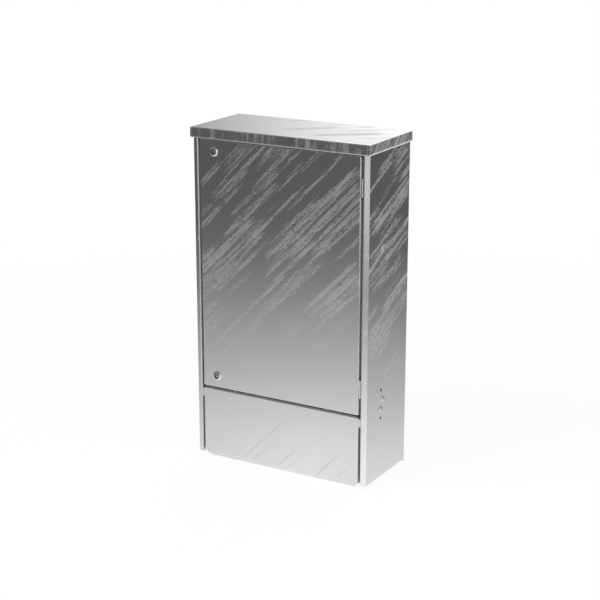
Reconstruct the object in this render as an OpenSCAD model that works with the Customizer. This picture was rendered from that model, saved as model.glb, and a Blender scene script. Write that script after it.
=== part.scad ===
// Roadside cable cabinet of folded galvanised sheet, with its door, locks, fuse rails and cable space.
// Millimetres. X runs along the front, Y from front to back, Z up from the ground.

/* [Cabinet] */
// Outer width across the two side panels
body_w = 558; // [540:1:800]
// Depth from the door's front face to the back edges of the side panels
body_d = 245; // [230:1:400]
// Height from the ground to the top of the roof
total_h = 980; // [960:1:1300]
// Thickness of the galvanised sheet
sheet = 1.5; // [1:0.1:2]
// Inner radius of an ordinary bend in the sheet
bend_r = 1; // [0.5:0.1:2]
// Height of the side panels' lower edges above the ground
side_lift = 11; // [2:1:13]

/* [Corner posts] */
// Width from a side panel's outer face to the door opening
post_w = 18; // [14:0.5:26]
// Angle between a post's sloping face and the front
post_angle = 28; // [15:1:40]
// Outer radius of the fold along a post's front edge
post_fold_r = 4; // [3:0.5:6]
// Depth from the front to the face of the door stop
stop_d = 26.5; // [24:0.5:36]
// Width of the door stop
stop_w = 18; // [14:0.5:26]
// Width of the flange at the back edge of a side panel
back_flange = 25; // [18:1:40]
// Width of the flange at the top edge of a side panel
top_flange = 24; // [18:1:30]
// Distance of the top flange from the front and from the back
top_flange_inset = 42; // [36:1:70]

/* [Back panel] */
// Distance of the back panel's side edges from the side panels' outer faces
back_inset = 2; // [1:0.5:5]
// Width of the flanges folded in at the foot and the head of the back panel
back_fold = 24; // [15:1:40]
// Sideways room between those flanges and the side panels' flanges
back_fold_gap = 3; // [1:0.5:8]
// Radius of a rivet through the back panel
rivet_r = 2; // [1.5:0.1:3]
// Radius of that rivet's head
rivet_head_r = 4; // [3.2:0.1:6]
// Height of that rivet's head
rivet_head_h = 1.2; // [0.6:0.1:2]
// Rivets along each edge of the back panel
rivet_count = 6; // [3:1:10]
// Distance of the lowest rivet from the ground and of the highest from the roof
rivet_end = 90; // [60:5:150]

/* [Roof] */
// Height of the roof's skirt
roof_skirt = 29.5; // [20:0.5:40]
// How far the roof stands out in front and behind
roof_over = 5; // [4.5:0.5:10]
// Clearance between the roof's hem and the side panels
roof_gap = 0.3; // [0.2:0.1:2]
// Outer radius of the folds along the roof's top edges
roof_fold_r = 2.5; // [2.2:0.1:4]
// Height of the hem folded inside the skirt
hem_h = 10; // [6:0.5:18]
// Radius of a stud welded under the roof
stud_r = 3; // [2:0.5:4]
// Length of that stud
stud_len = 20; // [14:1:30]
// Clearance of a stud or bolt in its hole
hole_gap = 0.3; // [0.1:0.1:0.6]
// Distance of the studs from the ends of the side panels' top flanges
stud_inset = 15.5; // [8:0.5:40]
// Thickness of a roof nut
stud_nut_h = 5; // [4:0.5:7]

/* [Frame rails] */
// Height of the top rail behind the roof's skirt and the door's upper edge
top_rail_h = 46; // [44:1:60]
// Depth of the rails' flanges
rail_flange = 21; // [12:1:21]
// Clearance between a rail's end and the door stop
rail_end_gap = 0.5; // [0.2:0.1:2]
// How far a rail's welded tab reaches to each side of the stop's edge
rail_tab = 15; // [8:1:16]
// Distance of a welded tab from the rail's upper and lower edges
rail_tab_inset = 4; // [3:0.5:8]
// Height of the sill rail's web
sill_h = 24; // [22:1:32]
// Depth from the front to the sill rail's front edge
sill_front = 5; // [3:0.5:10]
// Height of the toe rail's lower edge above the ground
toe_z = 14; // [10:1:30]
// Height of the toe rail
toe_h = 40; // [25:1:70]

/* [Door] */
// Clearance between the door's or cover's side edge and the post
side_gap = 6.5; // [6:0.1:9]
// Clearance between the door's upper edge and the roof's skirt
door_top_gap = 1.7; // [1:0.1:8]
// Depth of the door's folded edges
door_d = 20; // [16:0.5:22]
// Outer radius of the folds along the door's and cover's edges
door_fold_r = 2.5; // [2.2:0.1:4]
// Width of the lip folded in behind the door's edges
door_lip = 12; // [11:0.5:14]
// Width of the seal's foot
seal_w = 9; // [6:0.5:10]
// Height of the seal's foot
seal_foot_h = 3; // [1.5:0.1:3.5]
// Width of the seal's bead
seal_bead_w = 5; // [3:0.5:6]
// Distance of the seal from the lip's free edge
seal_inset = 1; // [0.2:0.1:2]
// Clearance between the closed door's seal and the stop
seal_gap = 0.3; // [0.3:0.1:1]
// Width of the stiffener's raised middle
stiffener_w = 40; // [24:1:70]
// Height of the stiffener's raised middle
stiffener_d = 14; // [8:0.5:18]
// Width of each foot of the stiffener
stiffener_foot = 15; // [8:1:25]
// Distance of the stiffener's ends from the door's upper and lower lips
stiffener_end = 8; // [4:1:40]

/* [Lower cover] */
// Height of the lower cover's upper edge
cover_top = 214; // [196:1:220]
// Gap between the lower cover and the door
cover_gap = 6; // [5:0.5:12]
// Depth of the cover's folded side and upper edges
cover_d = 20; // [14:0.5:22]
// Height of the kicked-back lip
kick_h = 15.5; // [8:0.5:18]
// Angle of that lip from the upright
kick_angle = 40; // [25:1:50]
// Height of a locating ear
ear_h = 24; // [12:1:40]
// Distance from the cover's upper edge down to the ears
ear_drop = 5; // [4:0.5:20]
// Depth of an ear behind the cover's front
ear_d = 3; // [2.8:0.1:8]
// Clearance between an ear and the post
ear_gap = 0.3; // [0.2:0.1:1]
// Distance of the hooks and screws from the cover's ends
cover_fix_inset = 104.5; // [64.5:0.5:194.5]
// Width of a hook
hook_w = 30; // [16:1:50]
// Height of a hook's welded leg
hook_leg = 36; // [20:1:60]
// Length of a hook's downturned tip
hook_tip = 10; // [6:0.5:16]
// Distance of the hook's tip behind the toe rail's front
hook_back = 13; // [8:0.5:14]
// Clearance around a hook's tip in its slot
hook_gap = 1.5; // [0.5:0.1:3]
// Radius of a cover screw
cover_screw_r = 3; // [2:0.5:4]
// Depth of the cover screws behind the front
cover_screw_d = 12; // [9:0.5:13]
// Height of a cover screw's head
cover_head_h = 3.5; // [2:0.5:4]
// Height of the weld nut under the cover's edge
weld_nut_h = 5; // [3:0.5:8]

/* [Hinges] */
// Distance of the upper hinge's middle below the door's upper edge
hinge_drop = 86.3; // [60:0.1:160]
// Height of the lower hinge's middle above the door's lower edge
hinge_rise = 77.5; // [60:0.5:160]
// Height of each half of a hinge
hinge_half = 26; // [20:1:40]
// Clearance between a hinge's knuckle and the door's edge or the post
knuckle_gap = 0.35; // [0.3:0.05:0.6]
// Clearance between the two halves of a hinge
half_gap = 0.3; // [0.3:0.1:1]
// Radius of a hinge pin
pin_r = 1.6; // [1:0.1:1.8]
// Running clearance of a pin in the door's knuckle
pin_gap = 0.05; // [0.02:0.01:0.1]
// Solid end left in each knuckle beyond the pin
knuckle_end = 1.5; // [1:0.5:3]
// Thickness of a hinge leaf
leaf_t = 2; // [1.5:0.1:2]
// Depth of the frame leaf's rear edge behind the front
leaf_back = 23; // [20:0.5:24]
// Width of the door leaf's plate behind the door's front
leaf_w = 20; // [14:1:40]
// Height of that plate
leaf_h = 38; // [36:1:50]
// Height of the plate's middle above the hinge's middle
leaf_up = 12; // [10:1:14]
// Clearance around the door leaf in the door's folded edge
leaf_gap = 0.3; // [0.2:0.1:0.6]
// Radius of a hinge rivet
hinge_rivet_r = 1.2; // [1:0.1:2]
// Distance between the rivets of a door leaf
leaf_rivet_pitch = 27.5; // [20:0.5:30]
// Distance between the rivets of a frame leaf
jamb_rivet_pitch = 13; // [8:0.5:16]
// Distance of the door leaf's rivets from the door's edge
leaf_rivet_x = 6; // [5:0.5:9]
// Depth of the frame leaf's rivets behind the front
jamb_rivet_d = 15; // [12:0.5:18]
// Radius of a hinge rivet's head
hinge_head_r = 2; // [1.6:0.1:3]
// Height of a hinge rivet's head
hinge_head_h = 0.7; // [0.4:0.1:1.2]

/* [Locks] */
// Distance of the locks from the door's left edge
lock_inset = 46.5; // [32.5:0.5:59.5]
// Clearance between the upper lock's body and the top rail
lock_top_gap = 4.5; // [1:0.5:60]
// Clearance between the lower lock's body and the sill rail
lock_low_gap = 4.5; // [1:0.5:60]
// Radius of a lock's domed flange
lock_flange_r = 14; // [12:0.5:16]
// How far the dome stands out in front of the door
lock_dome_h = 4.7; // [3:0.1:5]
// Height of the flange's straight rim
lock_rim_h = 1; // [0.5:0.1:1.5]
// Radius of the key socket
lock_socket_r = 8; // [7.4:0.1:9]
// Depth of the socket's floor behind the door's front
lock_socket_d = 3; // [2:0.1:6]
// Radius of the lock's body behind the flange
lock_body_r = 11; // [10:0.5:12]
// Radius of the turning spindle
spindle_r = 7; // [6:0.1:7]
// Running clearance of the spindle in the lock's body
spindle_gap = 0.05; // [0.02:0.01:0.1]
// Thickness of the spindle's collar on the socket's floor
collar_h = 1.5; // [1:0.1:2]
// Clearance of the collar above the socket's floor and inside its wall
collar_gap = 0.2; // [0.1:0.05:0.4]
// Radius of the circle around the triangular key head
key_r = 5; // [4:0.1:5.5]
// How far the key head stands out in front of the door
key_out = 3; // [1:0.1:3.5]
// Thickness of the nut behind the door
lock_nut_h = 6; // [4:0.5:8]
// Radius of the circle around that nut's corners
lock_nut_r = 17; // [14:0.5:18]
// Clearance between the stop's back face and the cam
cam_gap = 1.2; // [0.6:0.1:2]
// Clearance between the lock's body and the cam
cam_end_gap = 0.3; // [0.3:0.1:0.6]
// Thickness of a cam
cam_t = 3; // [2:0.5:4]
// Width of a cam
cam_w = 20; // [14:1:20]
// Length of a cam from the spindle to its tip
cam_len = 46; // [42:0.5:48]
// Side of the square on which a cam sits
cam_square = 7; // [5:0.5:8]
// Clearance of the square in the cam
cam_fit = 0.05; // [0.02:0.01:0.1]
// Radius of the spindle's threaded end
cam_thread_r = 3; // [2:0.1:3]
// Thickness of the nut on the cam
cam_nut_h = 5; // [3:0.5:6]
// How far the thread stands out behind that nut
cam_thread_out = 2; // [1:0.5:3]

/* [Side bolts] */
// Radius of a side bolt
side_bolt_r = 4; // [3:0.5:5]
// Radius of its domed head
dome_r = 10; // [8:0.5:12]
// Height of its domed head
dome_h = 5; // [3:0.5:6]
// Depth of the upright bolts and the stand holes behind the front
bolt_d = 89; // [85:1:98]
// Height of the high bolt above the ground
bolt_top_z = 682; // [600:1:760]
// Height of the low bolt above the ground
bolt_low_z = 216; // [206:1:220]
// Height of the third bolt above the ground
bolt_third_z = 243; // [236:1:248]
// How far the third bolt lies behind the others
bolt_third_back = 12; // [0:1:14]
// Thickness of a side bolt's nut
side_nut_h = 6.5; // [5:0.5:8]
// Radius of a hole for a ground stand's bolt
stand_hole_r = 4.5; // [3.5:0.1:5.5]
// Height of the lower stand hole above the ground
stand_low_z = 189; // [170:1:194]
// Distance between the two stand holes
stand_pitch = 83.5; // [80:0.5:110]

/* [Mounting uprights] */
// Thickness of the uprights' steel
upright_t = 2; // [1.5:0.1:3]
// Depth of an upright's front edge behind the cabinet's front
upright_front = 66; // [60:1:72]
// Width of an upright's foot against the side panel
upright_foot = 56; // [52:1:64]
// Width of an upright's front flange
upright_flange = 25; // [14:1:30]
// How far an upright steps in from the side panel
upright_step = 32; // [20:1:34]
// Depth of an upright's rear face behind the front
upright_back = 185; // [180:1:195]
// Width of an upright's rear flange, inwards from the step
upright_rear = 20; // [16:1:26]
// Height of an upright's lower end above the ground
upright_low_z = 105; // [90:1:108]
// Distance of an upright's upper end below the roof's top
upright_head = 80; // [40:1:100]

/* [Cross rails] */
// Height of a cross rail's section
cross_h = 40; // [32:1:50]
// Depth of a cross rail's section
cross_d = 20; // [16:1:26]
// Lip of a cross rail's section
cross_lip = 8; // [5:0.5:11]
// Height of the cable clamp rail's middle above the ground
clamp_rail_z = 130; // [126:1:145]
// Height of the neutral rail's middle above the ground
neutral_z = 215; // [205:1:225]
// Radius of a cross rail's bolt
cross_bolt_r = 3; // [2:0.5:4]
// Height of a cross rail bolt's head
cross_head_h = 4; // [3:0.5:6]
// How far a cross rail bolt stands out behind the upright
cross_bolt_out = 6; // [3:0.5:10]

/* [Busbars and fuses] */
// Distance of the highest phase bar's middle below the roof's top
bar_head = 140; // [122:1:150]
// Distance between the phase bars
bar_pitch = 185; // [180:1:190]
// Height of a bar's section
bar_h = 40; // [25:1:50]
// Thickness of a bar
bar_t = 10; // [5:1:12]
// Depth of the insulators between bars and cross rails
holder_d = 20; // [14:1:22]
// Width of a bar holder
holder_w = 28; // [20:1:30]
// Length of a bar holder beyond the outer bars' middles
holder_end = 35; // [25:1:45]
// Depth of the hollows between a bar holder's seats
holder_relief = 7; // [3:0.5:10]
// Height of the neutral bar's section
neutral_bar_h = 30; // [20:1:38]
// Radius of a bar screw
bar_screw_r = 4; // [3:0.5:5]
// Height of a bar screw's head
bar_head_h = 5; // [4:0.5:7]
// Room beside the row of fuse rails, up to the upright's step
rack_side = 43.5; // [30:0.5:60]
// Fuse rails side by side
fuse_count = 4; // [2:1:4]
// Thickness of the barriers between the fuse rails
barrier_t = 3; // [2:0.5:4]
// Clearance between a barrier and the fuse rails beside it
barrier_gap = 0.2; // [0.1:0.1:0.5]
// Depth of a barrier in front of the phase bars
barrier_d = 74; // [60:1:80]
// Thickness of a fuse rail's base
base_t = 15; // [10:1:20]
// Length of a fuse rail's base below the lowest bar
base_down = 220; // [180:1:222]
// Length of a fuse rail's base above the highest bar
base_up = 30; // [22:1:40]
// Depth of the grooves moulded across a base
base_groove = 3; // [1:0.5:6]
// Distance between a fuse link's upper and lower contact
contact_pitch = 130; // [124:1:140]
// Width of a contact jaw
jaw_w = 24; // [16:1:30]
// Height of a contact jaw
jaw_h = 26; // [18:1:32]
// Depth of a contact jaw
jaw_d = 28; // [24:1:34]
// Solid back of a contact jaw
jaw_back = 4; // [3:0.5:6]
// Thickness of a fuse link's blade
blade_t = 6; // [4:0.5:7]
// Depth of a fuse link's blade
blade_d = 20; // [14:1:22]
// Clearance of a blade in its jaw
blade_gap = 0.05; // [0.02:0.01:0.2]
// Side of a fuse link's square body
link_w = 50; // [36:1:56]
// Height of a fuse link's body
link_h = 74; // [60:1:90]
// Clearance between a fuse link's body and the base
link_gap = 1; // [0.5:0.1:3]
// Cut on the corners of a fuse link's body
link_cut = 5; // [2:0.5:9]

/* [Hidden] */
$fn = 48;
eps = 0.5;
hex = 6;
fold_steps = 8;
both = [-1, 1];

half_w = body_w / 2;
front_y = -body_d / 2;
jamb_x = half_w - post_w;
stop_x = jamb_x - stop_w;
stop_back = stop_d + sheet;
inner_top = total_h - sheet;
roof_z = total_h - roof_skirt;
roof_w = body_w + 2 * (roof_gap + 2 * sheet);
roof_d = body_d + 2 * roof_over;
back_v = body_d + sheet;
sheet_fold_r = bend_r + sheet;

// The sloping face touches the front fold's arc, so both ends of it follow from the angle.
post_tip = post_fold_r - post_fold_r * (1 + sin(post_angle)) / cos(post_angle);
slope_d = post_fold_r + ((post_w - post_fold_r) * sin(post_angle) - post_fold_r) / cos(post_angle);

door_w = 2 * (jamb_x - side_gap);
door_low = cover_top + cover_gap;
door_top = roof_z - door_top_gap;
seal_d = stop_d - door_d - seal_gap;
kick_back = kick_h * tan(kick_angle);
toe_top = toe_z + toe_h;
top_rail_z = inner_top - sheet - top_rail_h;
stud_y = body_d / 2 - top_flange_inset - stud_inset;

cover_fix_x = door_w / 2 - cover_fix_inset;
knuckle_r = side_gap / 2 - knuckle_gap;
hinge_x = door_w / 2 + side_gap / 2;
hinge_d = sheet + leaf_t / 2;
hinge_top_z = door_top - hinge_drop;
hinge_low_z = door_low + hinge_rise;
hinge_zs = [hinge_low_z, hinge_top_z];
leaf_rivets = [for (z = hinge_zs) for (s = both) z + leaf_up + s * leaf_rivet_pitch / 2];
jamb_rivets = [for (z = hinge_zs) for (s = both) z - hinge_half / 2 + s * jamb_rivet_pitch / 2];

cam_d = stop_back + cam_gap;
lock_len = cam_d - cam_end_gap;
dome_c = (pow(lock_dome_h, 2) - pow(lock_rim_h, 2) - pow(lock_flange_r - lock_socket_r, 2))
    / (2 * (lock_dome_h - lock_rim_h));
lock_x = door_w / 2 - lock_inset;
lock_top_z = top_rail_z - lock_top_gap - lock_body_r;
lock_low_z = cover_top + sill_h + sheet + lock_low_gap + lock_body_r;
lock_zs = [lock_low_z, lock_top_z];

side_bolts_at = [
    [bolt_d, bolt_top_z],
    [bolt_d, bolt_low_z],
    [bolt_d + bolt_third_back, bolt_third_z]
];
stand_zs = [stand_low_z, stand_low_z + stand_pitch];
rivet_zs = [
    for (i = [0 : rivet_count - 1])
        rivet_end + i * (total_h - 2 * rivet_end) / (rivet_count - 1)
];
dome_ball = (pow(dome_r, 2) + pow(dome_h, 2)) / (2 * dome_h);

wall_x = half_w - sheet;
step_x = wall_x - upright_step - upright_t;
cross_half = step_x - rail_end_gap;
cross_back = upright_back - upright_t;
cross_front = cross_back - cross_d;
bar_back = cross_front - holder_d;
bar_front = bar_back - bar_t;
base_front = bar_front - base_t;
jaw_front = base_front - jaw_d;
fuse_pitch = 2 * (step_x - rack_side) / fuse_count;
base_w = fuse_pitch - barrier_t - 2 * barrier_gap;
fuse_row = fuse_pitch * fuse_count;
fuse_xs = [for (i = [0 : fuse_count - 1]) (i + 0.5) * fuse_pitch - fuse_row / 2];
barrier_xs = [for (i = [0 : fuse_count]) i * fuse_pitch - fuse_row / 2];
bar_low_z = total_h - bar_head - 2 * bar_pitch;
bar_zs = [for (i = [0 : 2]) bar_low_z + i * bar_pitch];
rail_zs = [for (i = [0 : 1]) bar_low_z + (i + 0.5) * bar_pitch];
base_low = bar_low_z - base_down;
base_top = bar_low_z + 2 * bar_pitch + base_up;
bar_screw_x = fuse_row / 2 + barrier_t / 2 + hex_r(bar_screw_r) + barrier_gap;
holder_x = bar_screw_x;
bar_half = holder_x + holder_w / 2;
cross_zs = concat([clamp_rail_z, neutral_z], rail_zs);
cross_bolt_x = step_x - upright_rear / 2 + upright_t / 2;

galvanised = [0.70, 0.72, 0.73];
zinc = [0.78, 0.79, 0.80];
lock_metal = [0.80, 0.80, 0.79];
rubber = [0.10, 0.10, 0.11];
copper = [0.80, 0.50, 0.33];
moulding = [0.16, 0.17, 0.18];
insulator = [0.45, 0.16, 0.11];
ceramic = [0.93, 0.91, 0.86];
barrier_grey = [0.62, 0.63, 0.62];

// Folded sheet: a path of corner points along one face, the sheet on the path's left, round bends.

function heading(p, i) = atan2(p[i + 1].y - p[i].y, p[i + 1].x - p[i].x);
function ray(a) = [cos(a), sin(a)];
function turn(p, i) =
    let (k = heading(p, i) - heading(p, i - 1))
    k > 180 ? k - 360 : k < -180 ? k + 360 : k;
function face_r(p, i, t, r) = turn(p, i) > 0 ? r[i] + t : r[i];
function reach(p, i, t, r) =
    i == 0 || i == len(p) - 1 ? 0 : face_r(p, i, t, r) * tan(abs(turn(p, i)) / 2);
function bend_side(p, i) = turn(p, i) > 0 ? 90 : -90;
function bend_centre(p, i, t, r) =
    let (a = heading(p, i - 1))
    p[i] - reach(p, i, t, r) * ray(a) + face_r(p, i, t, r) * ray(a + bend_side(p, i));
function same_bends(p, r) = [for (q = p) r];

// Sheet with square bends only, each a true arc

module folded(p, t, r) {
    for (i = [0 : len(p) - 2])
        translate(p[i])
            rotate(heading(p, i))
                translate([reach(p, i, t, r), 0])
                    square([norm(p[i + 1] - p[i]) - reach(p, i, t, r) - reach(p, i + 1, t, r), t]);
    for (i = [1 : len(p) - 2])
        bend(p, i, t, r);
}

module bend(p, i, t, r) {
    k = turn(p, i);
    from = heading(p, i - 1) - bend_side(p, i);
    wedge = 2 * (r[i] + t) / cos(k / 2);
    translate(bend_centre(p, i, t, r))
        intersection() {
            difference() {
                circle(r[i] + t);
                circle(r[i]);
            }
            polygon([[0, 0], wedge * ray(from), wedge * ray(from + k)]);
        }
}

// Sheet with bends of any angle: one outline along both faces, with its arcs in short steps

function bend_arc(p, i, t, r, radius, steps) =
    let (from = heading(p, i - 1) - bend_side(p, i))
    [for (j = steps) bend_centre(p, i, t, r) + radius * ray(from + turn(p, i) * j / fold_steps)];
function sheet_outline(p, t, r) =
    let (last = len(p) - 1)
    concat(
        [p[0]],
        [for (i = [1 : last - 1]) each bend_arc(p, i, t, r, face_r(p, i, t, r), [0 : fold_steps])],
        [p[last], p[last] + t * ray(heading(p, last - 1) + 90)],
        [
            for (i = [last - 1 : -1 : 1])
                each bend_arc(p, i, t, r, 2 * r[i] + t - face_r(p, i, t, r), [fold_steps : -1 : 0])
        ],
        [p[0] + t * ray(heading(p, 0) + 90)]
    );

// Placing helpers: depths are measured from the door's front face, sections are drawn as depth and height.

module from_front() {
    translate([0, front_y, 0])
        children();
}

module across(length) {
    rotate([90, 0, 90])
        linear_extrude(length, center = true)
            children();
}

module along_depth(length) {
    rotate([90, 0, 0])
        linear_extrude(length, center = true)
            children();
}

module upright_run(low, high) {
    translate([0, 0, low])
        linear_extrude(high - low)
            children();
}

module rod_x(r, length) {
    rotate([0, 90, 0])
        cylinder(r = r, h = length);
}

module rod_y(r, length) {
    rotate([-90, 0, 0])
        cylinder(r = r, h = length);
}

// Radius of the circle around the corners of the hexagon that suits a thread of radius r.
function hex_r(r) = 1.9 * r;

module nut(r, h) {
    difference() {
        cylinder(r = hex_r(r), h = h, $fn = hex);
        translate([0, 0, -eps])
            cylinder(r = r, h = h + 2 * eps);
    }
}

// Side panels

module side_panel(hinged) {
    path = [
        [back_flange, body_d], [0, body_d], [0, slope_d], [post_w, post_tip],
        [post_w, stop_d], [post_w + stop_w, stop_d]
    ];
    radii = [0, bend_r, post_fold_r - sheet, post_fold_r - sheet, bend_r, 0];
    difference() {
        union() {
            upright_run(side_lift, inner_top)
                polygon(sheet_outline(path, sheet, radii));
            translate([0, top_flange_inset, inner_top - sheet])
                cube([top_flange, body_d - 2 * top_flange_inset, sheet]);
        }
        for (q = side_bolts_at)
            translate([-eps, q.x, q.y])
                rod_x(side_bolt_r + hole_gap, sheet + 2 * eps);
        for (z = stand_zs)
            translate([-eps, bolt_d, z])
                rod_x(stand_hole_r, sheet + 2 * eps);
        for (s = both)
            translate([top_flange / 2, body_d / 2 + s * stud_y, inner_top - sheet - eps])
                cylinder(r = stud_r + hole_gap, h = sheet + 2 * eps);
        for (z = rivet_zs)
            translate([back_flange / 2, body_d - sheet - eps, z])
                rod_y(rivet_r, sheet + 2 * eps);
        if (hinged)
            for (z = jamb_rivets)
                translate([post_w - sheet - eps, jamb_rivet_d, z])
                    rod_x(hinge_rivet_r, sheet + 2 * eps);
    }
}

module left_side() {
    color(galvanised)
        from_front()
            translate([-half_w, 0, 0])
                side_panel(false);
}

module right_side() {
    color(galvanised)
        from_front()
            translate([half_w, 0, 0])
                mirror([1, 0, 0])
                    side_panel(true);
}

// Back panel, lapped over the side panels' back flanges and riveted to them

module back_panel() {
    path = [[back_v - back_fold, 0], [back_v, 0], [back_v, inner_top], [back_v - back_fold, inner_top]];
    edge = half_w - back_inset;
    color(galvanised)
        from_front()
            difference() {
                union() {
                    across(2 * (half_w - back_flange - back_fold_gap))
                        folded(path, sheet, same_bends(path, bend_r));
                    translate([-edge, body_d, sheet_fold_r])
                        cube([2 * edge, sheet, inner_top - 2 * sheet_fold_r]);
                }
                for (s = both)
                    for (z = rivet_zs)
                        translate([s * (half_w - back_flange / 2), body_d - eps, z])
                            rod_y(rivet_r, sheet + 2 * eps);
            }
}

module back_rivets() {
    color(zinc)
        from_front()
            for (s = both)
                for (z = rivet_zs)
                    translate([s * (half_w - back_flange / 2), body_d - sheet - rivet_head_h, z]) {
                        rod_y(rivet_head_r, rivet_head_h);
                        rod_y(rivet_r, 2 * sheet + 2 * rivet_head_h);
                        translate([0, 2 * sheet + rivet_head_h, 0])
                            rod_y(rivet_head_r, rivet_head_h);
                    }
}

// Roof cap with a hem folded inside its skirt, held by studs through the side panels' top flanges

module roof_section(span) {
    path = [
        [span / 2, roof_z + sheet], [span / 2, total_h],
        [-span / 2, total_h], [-span / 2, roof_z + sheet]
    ];
    folded(path, sheet, same_bends(path, roof_fold_r - sheet));
    for (s = both)
        translate([s * (span / 2 - sheet), roof_z + sheet]) {
            circle(sheet);
            translate([-sheet, 0])
                square([2 * sheet, hem_h - sheet]);
        }
}

module roof() {
    color(galvanised) {
        across(roof_w - 2 * roof_fold_r)
            roof_section(roof_d);
        along_depth(roof_d - 2 * roof_fold_r)
            roof_section(roof_w);
        for (sx = both)
            for (sy = both)
                translate([sx * (roof_w - roof_fold_r) / 2, sy * (roof_d - roof_fold_r) / 2, roof_z + sheet])
                    upright_run(0, roof_skirt - sheet - roof_fold_r)
                        square(roof_fold_r, center = true);
    }
}

module at_roof_studs() {
    for (sx = both)
        for (sy = both)
            translate([sx * (half_w - top_flange / 2), sy * stud_y, inner_top])
                mirror([0, 0, 1])
                    children();
}

module roof_studs() {
    color(zinc)
        at_roof_studs()
            cylinder(r = stud_r, h = stud_len);
}

module roof_nuts() {
    color(zinc)
        at_roof_studs()
            translate([0, 0, sheet])
                nut(stud_r, stud_nut_h);
}

// Rails welded between the door stops

module rail_tabs(low, high) {
    for (s = both)
        translate([s * stop_x - rail_tab, stop_back, low + rail_tab_inset])
            cube([2 * rail_tab, sheet, high - low - 2 * rail_tab_inset]);
}

module frame_rail(low, high) {
    path = [[stop_d + rail_flange, high], [stop_d, high], [stop_d, low], [stop_d + rail_flange, low]];
    across(2 * (stop_x - rail_end_gap))
        folded(path, sheet, same_bends(path, bend_r));
    rail_tabs(low, high);
}

module top_rail() {
    color(galvanised)
        from_front()
            frame_rail(top_rail_z, inner_top - sheet);
}

module sill_rail() {
    path = [
        [sill_front, cover_top], [stop_back, cover_top],
        [stop_back, cover_top + sill_h], [stop_back + rail_flange, cover_top + sill_h]
    ];
    color(galvanised)
        from_front()
            difference() {
                union() {
                    across(2 * (stop_x - rail_end_gap))
                        folded(path, sheet, same_bends(path, bend_r));
                    rail_tabs(cover_top, cover_top + sill_h);
                }
                at_cover_screws()
                    translate([0, 0, -eps])
                        cylinder(r = cover_screw_r + hole_gap, h = sheet + 2 * eps);
            }
}

module toe_rail() {
    color(galvanised)
        from_front()
            difference() {
                frame_rail(toe_z, toe_top);
                for (s = both)
                    translate([
                        s * cover_fix_x - hook_w / 2 - hook_gap,
                        stop_d + hook_back - hook_gap,
                        toe_top - sheet - eps
                    ])
                        cube([hook_w + 2 * hook_gap, sheet + 2 * hook_gap, sheet + 2 * eps]);
            }
}

// Door tray, its stiffener and its seal

module door() {
    h_path = [
        [-door_w / 2 + door_lip, door_d], [-door_w / 2, door_d], [-door_w / 2, 0],
        [door_w / 2, 0], [door_w / 2, door_d], [door_w / 2 - door_lip, door_d]
    ];
    v_path = [
        [door_d, door_top - door_lip], [door_d, door_top], [0, door_top],
        [0, door_low], [door_d, door_low], [door_d, door_low + door_lip]
    ];
    radius = door_fold_r - sheet;
    neck = hinge_half + leaf_gap;
    color(galvanised)
        from_front()
            difference() {
                union() {
                    upright_run(door_low + door_fold_r, door_top - door_fold_r)
                        folded(h_path, sheet, same_bends(h_path, radius));
                    across(door_w - 2 * door_fold_r)
                        folded(v_path, sheet, same_bends(v_path, radius));
                }
                for (z = lock_zs)
                    translate([-lock_x, -eps, z])
                        rod_y(lock_body_r + hole_gap, sheet + 2 * eps);
                for (z = hinge_zs)
                    translate([door_w / 2 - door_fold_r - eps, sheet, z])
                        cube([door_fold_r + 2 * eps, leaf_t + leaf_gap, neck]);
                for (z = leaf_rivets)
                    translate([door_w / 2 - leaf_rivet_x, -eps, z])
                        rod_y(hinge_rivet_r, sheet + 2 * eps);
            }
}

module door_stiffener() {
    half = stiffener_w / 2;
    path = [
        [-half - stiffener_foot, sheet], [-half, sheet], [-half, stiffener_d],
        [half, stiffener_d], [half, sheet], [half + stiffener_foot, sheet]
    ];
    color(galvanised)
        from_front()
            upright_run(door_low + door_lip + stiffener_end, door_top - door_lip - stiffener_end)
                folded(path, sheet, same_bends(path, bend_r));
}

module seal_ring(inset, width, depth) {
    w = door_w - 2 * inset;
    h = door_top - door_low - 2 * inset;
    translate([-w / 2, 0, door_low + inset])
        difference() {
            cube([w, depth, h]);
            translate([width, -eps, width])
                cube([w - 2 * width, depth + 2 * eps, h - 2 * width]);
        }
}

module door_seal() {
    outer = door_lip - seal_inset - seal_w;
    color(rubber)
        from_front()
            translate([0, door_d, 0]) {
                seal_ring(outer, seal_w, seal_foot_h);
                seal_ring(outer + (seal_w - seal_bead_w) / 2, seal_bead_w, seal_d);
            }
}

// Lift-off hinges standing in the gap between the door and the right-hand post

module hinge_frame_leaf(z) {
    color(zinc)
        from_front()
            translate([hinge_x, hinge_d, z - hinge_half])
                difference() {
                    union() {
                        cylinder(r = knuckle_r, h = hinge_half);
                        translate([side_gap / 2 - leaf_t, 0, 0])
                            cube([leaf_t, leaf_back - hinge_d, hinge_half]);
                    }
                    translate([0, 0, knuckle_end])
                        cylinder(r = pin_r, h = hinge_half);
                    for (s = both)
                        translate([
                            side_gap / 2 - leaf_t - eps,
                            jamb_rivet_d - hinge_d,
                            hinge_half / 2 + s * jamb_rivet_pitch / 2
                        ])
                            rod_x(hinge_rivet_r, leaf_t + 2 * eps);
                }
}

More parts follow.
